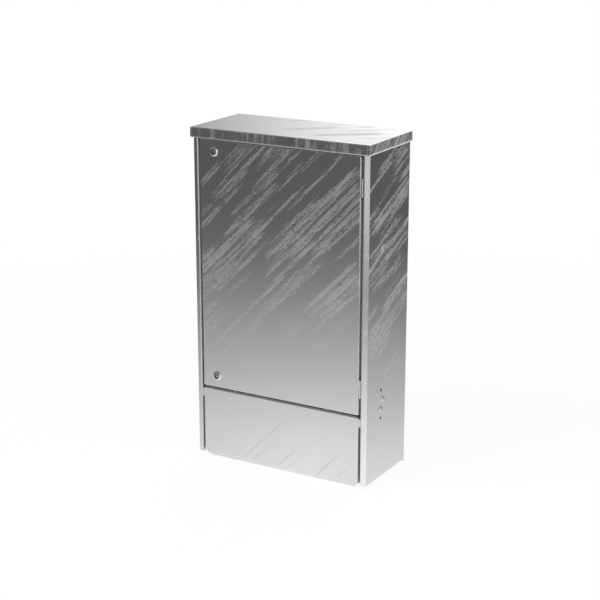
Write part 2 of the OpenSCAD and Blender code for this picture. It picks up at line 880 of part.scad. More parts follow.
module hinge_door_leaf(z) {
    plate_edge = door_w / 2 - door_fold_r;
    color(zinc)
        from_front()
            difference() {
                union() {
                    translate([hinge_x, hinge_d, z + half_gap])
                        cylinder(r = knuckle_r, h = hinge_half - half_gap);
                    translate([plate_edge, sheet, z + half_gap])
                        cube([hinge_x - plate_edge, leaf_t, hinge_half - half_gap]);
                    translate([plate_edge - leaf_w, sheet, z + leaf_up - leaf_h / 2])
                        cube([leaf_w, leaf_t, leaf_h]);
                }
                translate([hinge_x, hinge_d, z])
                    cylinder(r = pin_r + pin_gap, h = hinge_half - knuckle_end);
                for (s = both)
                    translate([
                        door_w / 2 - leaf_rivet_x, sheet - eps,
                        z + leaf_up + s * leaf_rivet_pitch / 2
                    ])
                        rod_y(hinge_rivet_r, leaf_t + 2 * eps);
            }
}

module upper_hinge_frame_leaf() {
    hinge_frame_leaf(hinge_top_z);
}

module lower_hinge_frame_leaf() {
    hinge_frame_leaf(hinge_low_z);
}

module upper_hinge_door_leaf() {
    hinge_door_leaf(hinge_top_z);
}

module lower_hinge_door_leaf() {
    hinge_door_leaf(hinge_low_z);
}

module hinge_pins() {
    reach_z = hinge_half - knuckle_end;
    color(zinc)
        from_front()
            for (z = hinge_zs)
                translate([hinge_x, hinge_d, z - reach_z])
                    cylinder(r = pin_r, h = 2 * reach_z - half_gap);
}

module hinge_rivet(grip) {
    translate([0, 0, -hinge_head_h])
        cylinder(r = hinge_head_r, h = hinge_head_h);
    translate([0, 0, -hinge_head_h])
        cylinder(r = hinge_rivet_r, h = grip + 2 * hinge_head_h);
    translate([0, 0, grip])
        cylinder(r = hinge_head_r, h = hinge_head_h);
}

module hinge_frame_rivets() {
    color(zinc)
        from_front()
            for (z = jamb_rivets)
                translate([jamb_x - leaf_t, jamb_rivet_d, z])
                    rotate([0, 90, 0])
                        hinge_rivet(leaf_t + sheet);
}

module hinge_door_rivets() {
    color(zinc)
        from_front()
            for (z = leaf_rivets)
                translate([door_w / 2 - leaf_rivet_x, 0, z])
                    rotate([-90, 0, 0])
                        hinge_rivet(sheet + leaf_t);
}

// Quarter-turn locks: a domed housing through the door, a spindle with a triangular head, a cam behind

module at_lock(z) {
    from_front()
        translate([-lock_x, 0, z])
            rotate([90, 0, 0])
                children();
}

module lock_housing(z) {
    bore = spindle_r + spindle_gap;
    color(lock_metal)
        at_lock(z)
            rotate_extrude() {
                intersection() {
                    translate([lock_socket_r, dome_c])
                        circle(lock_dome_h - dome_c);
                    translate([lock_socket_r, 0])
                        square([lock_flange_r - lock_socket_r, lock_dome_h]);
                }
                translate([lock_socket_r, -lock_socket_d])
                    square([lock_body_r - lock_socket_r, lock_socket_d]);
                translate([bore, -lock_len])
                    square([lock_body_r - bore, lock_len - lock_socket_d]);
            }
}

module upper_lock_housing() {
    lock_housing(lock_top_z);
}

module lower_lock_housing() {
    lock_housing(lock_low_z);
}

module lock_nuts() {
    color(zinc)
        for (z = lock_zs)
            at_lock(z)
                translate([0, 0, -sheet - lock_nut_h])
                    difference() {
                        cylinder(r = lock_nut_r, h = lock_nut_h, $fn = hex);
                        translate([0, 0, -eps])
                            cylinder(r = lock_body_r, h = lock_nut_h + 2 * eps);
                    }
}

module lock_spindle(z) {
    collar_low = collar_gap - lock_socket_d;
    tail = cam_t + cam_nut_h + cam_thread_out;
    color(lock_metal)
        at_lock(z) {
            translate([0, 0, -cam_d])
                cylinder(r = spindle_r, h = cam_d + collar_low + collar_h / 2);
            translate([0, 0, collar_low])
                cylinder(r = lock_socket_r - collar_gap, h = collar_h);
            translate([0, 0, collar_low])
                rotate(-90)
                    cylinder(r = key_r, h = key_out - collar_low, $fn = 3);
            translate([-cam_square / 2, -cam_square / 2, -cam_d - cam_t])
                cube([cam_square, cam_square, cam_t + eps]);
            translate([0, 0, -cam_d - tail])
                cylinder(r = cam_thread_r, h = tail);
        }
}

module lock_cam(z, up) {
    hole = cam_square + 2 * cam_fit;
    color(zinc)
        at_lock(z)
            translate([0, 0, -cam_d - cam_t])
                linear_extrude(cam_t)
                    difference() {
                        rotate(up ? 90 : -90) {
                            circle(cam_w / 2);
                            translate([0, -cam_w / 2])
                                square([cam_len - cam_w / 2, cam_w]);
                            translate([cam_len - cam_w / 2, 0])
                                circle(cam_w / 2);
                        }
                        square(hole, center = true);
                    }
}

module cam_nut(z) {
    color(zinc)
        at_lock(z)
            translate([0, 0, -cam_d - cam_t - cam_nut_h])
                nut(cam_thread_r, cam_nut_h);
}

module upper_lock_spindle() {
    lock_spindle(lock_top_z);
}

module upper_lock_cam() {
    lock_cam(lock_top_z, false);
}

module upper_cam_nut() {
    cam_nut(lock_top_z);
}

module lower_lock_spindle() {
    lock_spindle(lock_low_z);
}

module lower_lock_cam() {
    lock_cam(lock_low_z, true);
}

module lower_cam_nut() {
    cam_nut(lock_low_z);
}

// Lower cover, hooked into the toe rail and screwed up to the sill rail

module at_cover_screws() {
    for (s = both)
        translate([s * cover_fix_x, cover_screw_d, cover_top])
            children();
}

module lower_cover() {
    v_path = [[cover_d, cover_top], [0, cover_top], [0, kick_h], [kick_back, 0]];
    h_path = [[-door_w / 2, cover_d], [-door_w / 2, 0], [door_w / 2, 0], [door_w / 2, cover_d]];
    radius = door_fold_r - sheet;
    ear_x = door_w / 2 - sheet;
    flat_half = door_w / 2 - door_fold_r;
    color(galvanised)
        from_front()
            difference() {
                union() {
                    difference() {
                        across(2 * flat_half)
                            polygon(sheet_outline(v_path, sheet, same_bends(v_path, radius)));
                        for (s = both)
                            translate([s * flat_half, cover_d, 0])
                                rotate([90, 0, 0])
                                    linear_extrude(cover_d + eps)
                                        polygon([[0, kick_h], [s * eps, kick_h], [s * eps, -eps],
                                                 [-s * (kick_h + eps), -eps]]);
                    }
                    upright_run(kick_h, cover_top - door_fold_r)
                        folded(h_path, sheet, same_bends(h_path, radius));
                    for (s = both)
                        translate([s * (ear_x + (side_gap + sheet - ear_gap) / 2), ear_d + sheet / 2,
                                   cover_top - ear_drop - ear_h / 2])
                            cube([side_gap + sheet - ear_gap, sheet, ear_h], center = true);
                    at_cover_screws()
                        translate([0, 0, -sheet - weld_nut_h])
                            nut(cover_screw_r, weld_nut_h);
                }
                at_cover_screws()
                    translate([0, 0, -sheet - eps])
                        cylinder(r = cover_screw_r, h = sheet + 2 * eps);
            }
}

module cover_hooks() {
    tip = stop_d + hook_back;
    path = [[sheet, toe_top + hook_leg], [sheet, toe_top], [tip, toe_top], [tip, toe_top - hook_tip]];
    color(galvanised)
        from_front()
            for (s = both)
                translate([s * cover_fix_x, 0, 0])
                    across(hook_w)
                        folded(path, sheet, same_bends(path, bend_r));
}

module cover_screws() {
    shank = 2 * sheet + weld_nut_h;
    color(zinc)
        from_front()
            at_cover_screws() {
                translate([0, 0, sheet - shank])
                    cylinder(r = cover_screw_r, h = shank);
                translate([0, 0, sheet])
                    cylinder(r = hex_r(cover_screw_r), h = cover_head_h, $fn = hex);
            }
}

// Mounting uprights: a foot against the side panel, a step in, and a rear flange for the cross rails

module upright() {
    foot_back = upright_front + upright_foot;
    path = [
        [upright_step + upright_rear, upright_back], [upright_step, upright_back],
        [upright_step, foot_back], [0, foot_back], [0, upright_front], [upright_flange, upright_front]
    ];
    difference() {
        upright_run(upright_low_z, total_h - upright_head)
            folded(path, upright_t, same_bends(path, bend_r));
        for (q = side_bolts_at)
            translate([-eps, q.x, q.y])
                rod_x(side_bolt_r + hole_gap, upright_t + 2 * eps);
        for (z = stand_zs)
            translate([-eps, bolt_d, z])
                rod_x(stand_hole_r, upright_t + 2 * eps);
        for (z = cross_zs)
            translate([wall_x - cross_bolt_x, cross_back - eps, z])
                rod_y(cross_bolt_r, upright_t + 2 * eps);
    }
}

module left_upright() {
    color(galvanised)
        from_front()
            translate([-wall_x, 0, 0])
                upright();
}

module right_upright() {
    color(galvanised)
        from_front()
            translate([wall_x, 0, 0])
                mirror([1, 0, 0])
                    upright();
}

module at_side_bolts() {
    from_front()
        for (s = both)
            for (q = side_bolts_at)
                translate([s * half_w, q.x, q.y])
                    rotate([0, s * 90, 0])
                        children();
}

module side_bolts() {
    grip = sheet + upright_t + side_nut_h + sheet;
    color(zinc)
        at_side_bolts() {
            intersection() {
                translate([0, 0, dome_h - dome_ball])
                    sphere(dome_ball);
                cylinder(r = dome_r, h = dome_h);
            }
            translate([0, 0, -grip])
                cylinder(r = side_bolt_r, h = grip + dome_h / 2);
        }
}

module side_nuts() {
    color(zinc)
        at_side_bolts()
            translate([0, 0, -sheet - upright_t - side_nut_h])
                nut(side_bolt_r, side_nut_h);
}

// Cross rails between the uprights

module cross_rail(z) {
    low = z - cross_h / 2;
    high = z + cross_h / 2;
    path = [
        [cross_front, low + cross_lip], [cross_front, low], [cross_back, low],
        [cross_back, high], [cross_front, high], [cross_front, high - cross_lip]
    ];
    color(galvanised)
        from_front()
            difference() {
                across(2 * cross_half)
                    folded(path, sheet, same_bends(path, bend_r));
                for (s = both)
                    translate([s * cross_bolt_x, cross_back - sheet - eps, z])
                        rod_y(cross_bolt_r, sheet + 2 * eps);
            }
}

module upper_cross_rail() {
    cross_rail(rail_zs[1]);
}

module lower_cross_rail() {
    cross_rail(rail_zs[0]);
}

module neutral_rail() {
    cross_rail(neutral_z);
}

module cable_clamp_rail() {
    cross_rail(clamp_rail_z);
}

module cross_rail_bolts() {
    head_d = cross_back - sheet - cross_head_h;
    color(zinc)
        from_front()
            for (s = both)
                for (z = cross_zs)
                    translate([s * cross_bolt_x, head_d, z])
                        rotate([-90, 0, 0]) {
                            cylinder(r = hex_r(cross_bolt_r), h = cross_head_h, $fn = hex);
                            cylinder(r = cross_bolt_r,
                                     h = cross_head_h + sheet + upright_t + cross_bolt_out);
                        }
}

// Phase bars on moulded holders, and the neutral bar on two insulators

module bar_holder(x) {
    low = bar_low_z - holder_end;
    length = 2 * bar_pitch + 2 * holder_end;
    hollow = bar_pitch - bar_h - 2 * holder_relief;
    color(insulator)
        from_front()
            difference() {
                translate([x - holder_w / 2, bar_back, low])
                    cube([holder_w, holder_d, length]);
                for (z = rail_zs)
                    translate([x - holder_w / 2 - eps, bar_back - eps, z - hollow / 2])
                        cube([holder_w + 2 * eps, holder_relief + eps, hollow]);
                for (z = bar_zs)
                    translate([x, bar_back - eps, z])
                        rod_y(bar_screw_r, holder_d + 2 * eps);
            }
}

module left_bar_holder() {
    bar_holder(-holder_x);
}

module right_bar_holder() {
    bar_holder(holder_x);
}

module neutral_insulators() {
    color(insulator)
        from_front()
            for (s = both)
                translate([s * holder_x, bar_back, neutral_z])
                    difference() {
                        translate([-holder_w / 2, 0, -cross_h / 2])
                            cube([holder_w, holder_d, cross_h]);
                        translate([0, -eps, 0])
                            rod_y(bar_screw_r, holder_d + 2 * eps);
                    }
}

module bar(z, height) {
    color(copper)
        from_front()
            difference() {
                translate([-bar_half, bar_front, z - height / 2])
                    cube([2 * bar_half, bar_t, height]);
                for (s = both)
                    translate([s * holder_x, bar_front - eps, z])
                        rod_y(bar_screw_r, bar_t + 2 * eps);
            }
}

module top_phase_bar() {
    bar(bar_zs[2], bar_h);
}

module middle_phase_bar() {
    bar(bar_zs[1], bar_h);
}

module bottom_phase_bar() {
    bar(bar_zs[0], bar_h);
}

module neutral_bar() {
    bar(neutral_z, neutral_bar_h);
}

module bar_screws() {
    color(zinc)
        from_front()
            for (s = both)
                for (z = concat(bar_zs, neutral_z))
                    translate([s * holder_x, bar_front - bar_head_h, z])
                        rotate([-90, 0, 0]) {
                            cylinder(r = hex_r(bar_screw_r), h = bar_head_h, $fn = hex);
                            cylinder(r = bar_screw_r, h = bar_head_h + bar_t + holder_d);
                        }
}

// Fuse rails: a moulded base against the three bars, contact jaws, and a fuse link for each phase

module fuse_base(i) {
    color(moulding)
        from_front()
            difference() {
                translate([fuse_xs[i] - base_w / 2, base_front, base_low])
                    cube([base_w, base_t, base_top - base_low]);
                for (z = bar_zs)
                    translate([fuse_xs[i] - base_w / 2 - eps, base_front - eps,
                               z - contact_pitch - (bar_pitch - contact_pitch + jaw_h) / 2])
                        cube([base_w + 2 * eps, base_groove + eps, base_groove]);
            }
}

module fuse_base_1() {
    fuse_base(0);
}

module fuse_base_2() {
    fuse_base(1);
}

module fuse_base_3() {
    fuse_base(2);
}

module fuse_base_4() {
    fuse_base(3);
}

module fuse_contacts() {
    slot = blade_t + 2 * blade_gap;
    color(copper)
        from_front()
            for (x = fuse_xs)
                for (z = bar_zs)
                    for (drop = [0, contact_pitch])
                        translate([x - jaw_w / 2, jaw_front, z - drop - jaw_h / 2])
                            difference() {
                                cube([jaw_w, jaw_d, jaw_h]);
                                translate([(jaw_w - slot) / 2, -eps, -eps])
                                    cube([slot, jaw_d - jaw_back + eps, jaw_h + 2 * eps]);
                            }
}

module fuse_link() {
    blade_h = contact_pitch + jaw_h;
    upright_run(-link_h / 2, link_h / 2)
        polygon([
            for (s = [[1, 1], [-1, 1], [-1, -1], [1, -1]])
                for (k = [0, 1])
                    let (first = (s.x * s.y > 0) == (k == 0))
                    [s.x * (link_w / 2 - (first ? 0 : link_cut)),
                     s.y * (link_w / 2 - (first ? link_cut : 0))]
        ]);
    translate([-blade_t / 2, link_w / 2 + link_gap - jaw_back - blade_d, -blade_h / 2])
        cube([blade_t, blade_d, blade_h]);
}

module fuse_links(i) {
    color(ceramic)
        from_front()
            for (z = bar_zs)
                translate([fuse_xs[i], base_front - link_gap - link_w / 2, z - contact_pitch / 2])
                    fuse_link();
}

module fuse_links_1() {
    fuse_links(0);
}

module fuse_links_2() {
    fuse_links(1);
}

module fuse_links_3() {
    fuse_links(2);
}

module fuse_links_4() {
    fuse_links(3);
}

module phase_barriers() {
    color(barrier_grey)
        from_front()
            for (x = barrier_xs)
                translate([x - barrier_t / 2, bar_front - barrier_d, base_low])
                    cube([barrier_t, barrier_d, base_top - base_low]);
}

left_side();
right_side();
back_panel();
back_rivets();
roof();
roof_studs();
roof_nuts();
top_rail();
sill_rail();
toe_rail();
door();
door_stiffener();
door_seal();
upper_hinge_frame_leaf();
lower_hinge_frame_leaf();
hinge_pins();
hinge_frame_rivets();
upper_hinge_door_leaf();
lower_hinge_door_leaf();
hinge_door_rivets();
upper_lock_housing();
lower_lock_housing();
lock_nuts();
upper_lock_spindle();
upper_lock_cam();
upper_cam_nut();
lower_lock_spindle();
lower_lock_cam();
lower_cam_nut();
lower_cover();
cover_hooks();
cover_screws();
left_upright();
right_upright();
side_bolts();
side_nuts();
upper_cross_rail();
lower_cross_rail();
neutral_rail();
cable_clamp_rail();
cross_rail_bolts();
left_bar_holder();
right_bar_holder();
neutral_insulators();
top_phase_bar();
middle_phase_bar();
bottom_phase_bar();
neutral_bar();
bar_screws();
fuse_base_1();
fuse_base_2();
fuse_base_3();
fuse_base_4();
fuse_contacts();
fuse_links_1();
fuse_links_2();
fuse_links_3();
fuse_links_4();
phase_barriers();
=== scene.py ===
import math
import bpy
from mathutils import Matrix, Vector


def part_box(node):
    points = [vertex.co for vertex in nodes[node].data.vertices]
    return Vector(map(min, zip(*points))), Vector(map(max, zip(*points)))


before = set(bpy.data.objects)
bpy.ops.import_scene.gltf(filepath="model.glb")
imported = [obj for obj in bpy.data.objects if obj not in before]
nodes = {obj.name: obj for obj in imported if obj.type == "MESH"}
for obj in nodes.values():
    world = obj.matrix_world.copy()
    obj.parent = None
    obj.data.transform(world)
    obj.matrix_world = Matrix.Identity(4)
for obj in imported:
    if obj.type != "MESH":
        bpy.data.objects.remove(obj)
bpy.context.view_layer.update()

from types import SimpleNamespace

import bpy
from mathutils import Vector

scene = bpy.context.scene
scene.view_settings.view_transform = "Standard"


# Camera: a long lens at eye height, turned towards the right-hand front corner of the cabinet,
# so that the door, the right side and the roof all show.

camera_target = Vector((-0.0001, -0.00265, 0.4852))
camera_turn = math.radians(30.042)
camera_rise = math.radians(16.593)
camera_far = 4.3505
camera_lens = 91.27
camera_sensor = 36.0

camera_from = Vector((
    math.sin(camera_turn) * math.cos(camera_rise),
    -math.cos(camera_turn) * math.cos(camera_rise),
    math.sin(camera_rise),
))
camera_data = bpy.data.cameras.new("camera")
camera_data.sensor_width = camera_sensor
camera_data.lens = camera_lens
camera = bpy.data.objects.new("camera", camera_data)
camera.location = camera_target + camera_far * camera_from
camera.rotation_euler = (-camera_from).to_track_quat("-Z", "Y").to_euler()
scene.collection.objects.link(camera)
scene.camera = camera


# Studio floor: a wide pale floor, white to the camera but for a faint shadow. Bare metal mirrors it
# as white close by and grey further off, with a brighter fan out from the cabinet's right-hand
# front corner, as in a half-lit studio.

class Tone:
    """A number, colour or vector that changes over a surface: a socket among a material's nodes."""

    def __init__(self, tree, socket=None):
        self.tree = tree
        self.socket = socket

    def node(self, kind, settings, inputs, out=0):
        """Adds a node, sets it up, fills its sockets and gives one of its outputs."""
        made = self.tree.nodes.new("ShaderNode" + kind)
        for name, value in settings.items():
            if name == "stops":
                ramp = made.color_ramp
                while len(ramp.elements) < len(value):
                    ramp.elements.new(0.5)
                for element, (place, shade) in zip(ramp.elements, value):
                    element.position = place
                    element.color = (shade, shade, shade, 1.0)
            else:
                setattr(made, name, value)
        for name, value in inputs.items():
            if isinstance(value, Tone):
                self.tree.links.new(value.socket, made.inputs[name])
            else:
                made.inputs[name].default_value = value
        return Tone(self.tree, made.outputs[out] if made.outputs else None)

    def math(self, operation, first, second):
        return self.node("Math", {"operation": operation}, {0: first, 1: second})

    def __add__(self, other):
        return self.math("ADD", self, other)

    __radd__ = __add__

    def __sub__(self, other):
        return self.math("SUBTRACT", self, other)

    def __rsub__(self, other):
        return self.math("SUBTRACT", other, self)

    def __mul__(self, other):
        return self.math("MULTIPLY", self, other)

    __rmul__ = __mul__

    def __gt__(self, other):
        return self.math("GREATER_THAN", self, other)

    def most(self, other):
        """The larger of two values, point by point."""
        return self.math("MAXIMUM", self, other)

    def size(self):
        """The value without its sign."""
        return self.math("ABSOLUTE", self, 0.0)

    def between(self, low, high):
        """0 below low, 1 above high, and a smooth rise between them. Low may be the larger one."""
        return self.node("MapRange", {"interpolation_type": "SMOOTHSTEP", "clamp": False},
                         {"Value": self, "From Min": low, "From Max": high})

    def blend(self, none, full):
        """One value where this is 0, another where it is 1."""
        return none + self * (full - none)

    def grey(self, green=1.0, blue=1.0):
        """A grey of this brightness, with a faint tint where green or blue isn't 1."""
        return self.node("CombineColor", {}, {0: self, 1: self * green, 2: self * blue})


def new_material(name):
    material = bpy.data.materials.new(name)
    material.use_nodes = True
    material.node_tree.nodes.clear()
    return material, Tone(material.node_tree)


def finish_surface(paint, shader):
    paint.node("OutputMaterial", {}, {"Surface": shader})


floor_half = 40.0
floor_paint = (0.9, 0.9, 0.9, 1.0)
floor_white = (1.0, 1.0, 1.0, 1.0)
shadow_depth = 0.07
shadow_fade = (1.2, 3.0)
bright_spot = (0.08, -0.18, 0.0)
bright_reach = 5.0
bright_gain = 1.08
bright_stops = [
    (0.00, 1.00), (0.05, 0.90), (0.10, 0.78), (0.20, 0.555), (0.30, 0.40),
    (0.40, 0.265), (0.52, 0.165), (0.66, 0.120), (1.00, 0.112),
]
fan_from = (0.25, -0.10, 0.0)
fan_towards = (0.74, -0.67, 0.0)
fan_edge = (0.55, 0.85)
fan_near_fade = (0.9, 1.5)
fan_near_shades = (0.26, 0.12)
fan_far_fade = (2.1, 3.4)
fan_far_shade = 0.55

floor_mesh = bpy.data.meshes.new("floor")
floor_corners = [
    (-floor_half, -floor_half, 0.0),
    (floor_half, -floor_half, 0.0),
    (floor_half, floor_half, 0.0),
    (-floor_half, floor_half, 0.0),
]
floor_mesh.from_pydata(floor_corners, [], [(0, 1, 2, 3)])
floor = bpy.data.objects.new("floor", floor_mesh)
scene.collection.objects.link(floor)

floor_material, paint = new_material("studio_floor")
place = paint.node("NewGeometry", {}, {}, "Position")
seen_by_camera = paint.node("LightPath", {}, {}, "Is Camera Ray")
seen_in_metal = paint.node("LightPath", {}, {}, "Is Glossy Ray")
away = paint.node("VectorMath", {"operation": "DISTANCE"}, {0: place, 1: bright_spot}, "Value")
falloff = paint.node("ValToRGB", {"stops": bright_stops}, {"Fac": away * (1.0 / bright_reach)})
from_corner = paint.node("VectorMath", {"operation": "SUBTRACT"}, {0: place, 1: fan_from})
heading = paint.node("VectorMath", {"operation": "NORMALIZE"}, {0: from_corner})
fan = paint.node("VectorMath", {"operation": "DOT_PRODUCT"}, {0: heading, 1: fan_towards}, "Value")
fan_near = away.between(*fan_near_fade).blend(*fan_near_shades)
fan_far = away.between(*fan_far_fade) * fan_far_shade
fan_shade = fan.between(*fan_edge) * (fan_near + fan_far)
mirrored = (falloff * bright_gain + fan_shade).grey()
shown = paint.node("Mix", {"data_type": "RGBA"}, {0: seen_by_camera, 6: mirrored, 7: floor_white}, 2)
glow = paint.node("Emission", {}, {"Color": shown, "Strength": 1.0})
lit = paint.node("BsdfDiffuse", {}, {"Color": floor_paint})
unshadowed = away.between(*shadow_fade).blend(1.0 - shadow_depth, 1.0)
glow_share = (seen_by_camera * unshadowed).most(seen_in_metal)
finish_surface(paint, paint.node("MixShader", {}, {0: glow_share, 1: lit, 2: glow}))
floor_mesh.materials.append(floor_material)


# Studio light: a dim room with a window to the right, a pale wall behind the cabinet that the roof
# mirrors, a broad soft lamp above the left of the door, and a weaker one beside the right side.

room_shade = 0.24
window_shade = 0.9
window_towards = (0.91, -0.41, 0.0)
window_edge = (0.55, 0.90)
wall_towards = (-0.5, 0.86, 0.0)
wall_edge = (0.45, 0.80)
wall_along = (0.87, 0.49, 0.0)
wall_change = (-0.14, 0.10)
wall_shades = (0.30, 1.42)
lamps_aim = Vector((0.0, 0.0, 0.5))

world = bpy.data.worlds.new("studio")
world.use_nodes = True
world.node_tree.nodes.clear()
scene.world = world
sky = Tone(world.node_tree)
towards = sky.node("TexCoord", {}, {}, "Generated")
wall = sky.node("VectorMath", {"operation": "DOT_PRODUCT"}, {0: towards, 1: wall_towards}, "Value")
sideways = sky.node("VectorMath", {"operation": "DOT_PRODUCT"}, {0: towards, 1: wall_along}, "Value")
wall_shade = sideways.between(*wall_change).blend(*wall_shades)
window = sky.node("VectorMath", {"operation": "DOT_PRODUCT"}, {0: towards, 1: window_towards}, "Value")
dim_room = window.between(*window_edge).blend(room_shade, window_shade)
room = wall.between(*wall_edge).blend(dim_room, wall_shade)
sky_seen = sky.node("LightPath", {}, {}, "Is Camera Ray")
sky_colour = sky_seen.blend(room, 1.0).grey()
sky.node("OutputWorld", {}, {"Surface": sky.node("Background", {}, {"Color": sky_colour})})


def soft_lamp(name, place, width, height, watts):
    """A soft box aimed at the cabinet. The metal mirrors the room instead of the lamp."""
    light = bpy.data.lights.new(name, "AREA")
    light.shape = "RECTANGLE"
    light.size = width
    light.size_y = height
    light.energy = watts
    lamp = bpy.data.objects.new(name, light)
    lamp.location = place
    lamp.rotation_euler = (lamps_aim - lamp.location).to_track_quat("-Z", "Y").to_euler()
    lamp.visible_glossy = False
    scene.collection.objects.link(lamp)


soft_lamp("key_lamp", place=(-1.9, -3.0, 4.6), width=2.4, height=1.6, watts=200.0)
soft_lamp("fill_lamp", place=(3.6, -1.2, 2.6), width=2.0, height=2.0, watts=100.0)


# Side panels: one galvanised sheet each, folded into a flange at the back and a sloping corner
# post at the front. The zinc is bright, with dull rubbed streaks running up across it, and the
# post's return and door stop are dull all over.

mm_per_m = 1000.0
faces_front = 0.6
faces_up = 0.7
zinc_shade = 0.69
zinc_green = 1.004
zinc_blue = 1.007
zinc_roughness = 0.19
dull_roughness = 0.40
tarnish_shade = 0.05
tarnish_roughness = 0.06
side_chalk = (0.18, 0.34, 0.18)
return_x = 262.5
return_edge = 0.4

# A streak is whole in its core and gone past its fringe, in half widths of its band, and it fades
# beyond and within the band's ends, in millimetres.
streak_core = 0.4
streak_fringe = 1.8
fade_beyond = 60.0
fade_within = 20.0

# How strongly bands, lines and patches tell, where the zinc starts to look rubbed and where it is
# dull through, and how high the specks stand in millimetres.
band_depth = 0.82
line_depth = 3.0
patch_depth = 1.1
rubbed_from = 0.52
rubbed_through = 1.60
speck_height = 0.02


def galvanised(name, slant, bands, chalk=(0.18, 0.4, 0.18), dull_shade=0.64, beads=2.1,
               skirt=None, folds=None, edges=None):
    """Bright zinc with bands of dull streaks, each (place across, half width, start, end, strength)
    in millimetres across and along the slant. Chalk is how far they lose the shine of metal on faces
    to the front, the side and the top, and beads is how far they break up into beads. Skirt, folds
    and edges are functions for a bent sheet: they change its streaks, its dull places and its edges,
    where they paint highlights of pale matt zinc or roll the surface under."""
    material, paint = new_material(name)
    place = paint.node("TexCoord", {}, {}, "Object")
    facing = paint.node("TexCoord", {}, {}, "Normal")
    x, y, z = (mm_per_m * paint.node("SeparateXYZ", {}, {0: place}, axis) for axis in "XYZ")
    front = paint.node("SeparateXYZ", {}, {0: facing}, "Y").size() > faces_front
    level = paint.node("SeparateXYZ", {}, {0: facing}, "Z").size() > faces_up
    sheet = SimpleNamespace(x=x, z=z, front=front, level=level)
    sheet.across = level.most(front).blend(y, x)
    sheet.up = level.blend(z, y)
    run = math.cos(math.radians(slant))
    rise = math.sin(math.radians(slant))
    sheet.along = sheet.across * run + sheet.up * rise
    sheet.over = sheet.up * run - sheet.across * rise
    sheet.cover = 0.0
    for middle, half, start, end, strength in bands:
        band = (sheet.over - middle).size().between(streak_fringe * half, streak_core * half) * strength
        after_start = sheet.along.between(start - fade_beyond, start + fade_within)
        before_end = sheet.along.between(end + fade_beyond, end - fade_within)
        sheet.cover = (band * (after_start * before_end)).most(sheet.cover)
    if skirt:
        skirt(sheet)

    def grain(length, width, detail, seed):
        """Noise in grains of this length along the streaks and this width across them."""
        lengthwise = sheet.along * (1.0 / length)
        crosswise = sheet.over * (1.0 / width)
        spot = paint.node("CombineXYZ", {}, {0: lengthwise, 1: crosswise, 2: seed})
        return paint.node("TexNoise", {}, {
            "Vector": spot,
            "Scale": 1.0,
            "Detail": detail,
            "Roughness": 0.6,
        })

    lines = grain(length=100.0, width=4.4, detail=3.0, seed=8.1)
    specks = grain(length=11.0, width=3.0, detail=2.0, seed=3.9)
    patches = grain(length=75.0, width=14.0, detail=3.0, seed=1.7)
    tarnish = grain(length=70.0, width=70.0, detail=4.0, seed=5.3)
    uneven = (lines - 0.5) * line_depth + (specks - 0.5) * beads + (patches - 0.5) * patch_depth
    sheet.rubbed = (sheet.cover * band_depth + uneven).between(rubbed_from, rubbed_through)
    chalk_front, chalk_side, chalk_top = chalk
    chalky = level.blend(front.blend(chalk_side, chalk_front), chalk_top)
    if folds:
        folds(sheet)
    sheet.metal = 1.0 - sheet.rubbed * chalky
    sheet.shade = sheet.rubbed.blend(zinc_shade, dull_shade) + (tarnish - 0.5) * tarnish_shade
    sheet.relief = specks * sheet.rubbed * speck_height
    if edges:
        edges(sheet)

    colour = sheet.shade.grey(zinc_green, zinc_blue)
    roughness = sheet.rubbed.blend(zinc_roughness, dull_roughness) + (tarnish - 0.5) * tarnish_roughness
    bump = paint.node("Bump", {}, {"Height": sheet.relief, "Strength": 1.0, "Distance": 1.0 / mm_per_m})
    finish_surface(paint, paint.node("BsdfPrincipled", {}, {
        "Base Color": colour,
        "Metallic": sheet.metal,
        "Roughness": roughness,
        "Normal": bump,
    }))
    return material


def dress(material, *names):
    """Gives CAD nodes a finish in place of their plain colour."""
    for name in names:
        mesh = nodes[name].data
        mesh.materials.clear()
        mesh.materials.append(material)


def dull_returns(sheet):
    """Dulls what lies nearer the cabinet's middle than the outer face of a post's return."""
    within = (sheet.x.size() - return_x).between(return_edge, -return_edge)
    sheet.rubbed = sheet.rubbed.most(within)


dress(galvanised("right_zinc", slant=25.0, bands=[
    (840, 10, 335, 440, 1.25), (824, 6, 255, 400, 1.4), (822, 14, 415, 490, 1.15), (797, 12, 410, 490, 1.3),
    (781, 7, 395, 495, 1.3), (769, 7, 335, 405, 1.15), (760, 6, 275, 315, 1.0), (752, 12, 228, 280, 1.15),
    (748, 12, 430, 485, 1.3), (728, 6, 225, 460, 1.3), (709, 11, 255, 460, 1.5), (712, 6, 205, 260, 1.1),
    (690, 14, 335, 450, 1.45), (683, 12, 262, 345, 1.0), (655, 7, 178, 240, 1.2), (658, 8, 245, 305, 1.1),
    (650, 12, 295, 370, 1.3), (638, 8, 195, 270, 1.1), (621, 10, 150, 310, 1.5), (614, 10, 290, 415, 1.4),
    (596, 9, 165, 260, 1.2), (590, 10, 255, 400, 1.4), (577, 12, 165, 250, 1.1), (570, 8, 325, 395, 1.1),
    (558, 9, 178, 240, 1.15), (544, 10, 195, 325, 1.2), (528, 9, 280, 330, 1.15), (500, 7, 95, 145, 1.2),
    (496, 10, 215, 305, 1.0), (472, 10, 195, 350, 1.45), (455, 12, 95, 335, 1.25), (438, 12, 85, 150, 1.3),
    (430, 9, 150, 325, 1.15), (417, 8, 85, 320, 1.2), (402, 10, 68, 310, 1.2), (385, 10, 75, 200, 1.05),
    (366, 10, 115, 205, 0.95), (290, 10, 120, 220, 0.8), (90, 22, -90, -20, 0.9), (492, 16, 540, 570, 1.2),
    (376, 12, 480, 510, 1.2), (305, 12, 445, 470, 1.1), (555, 12, 575, 600, 1.1),
], chalk=side_chalk, folds=dull_returns), "right_side")
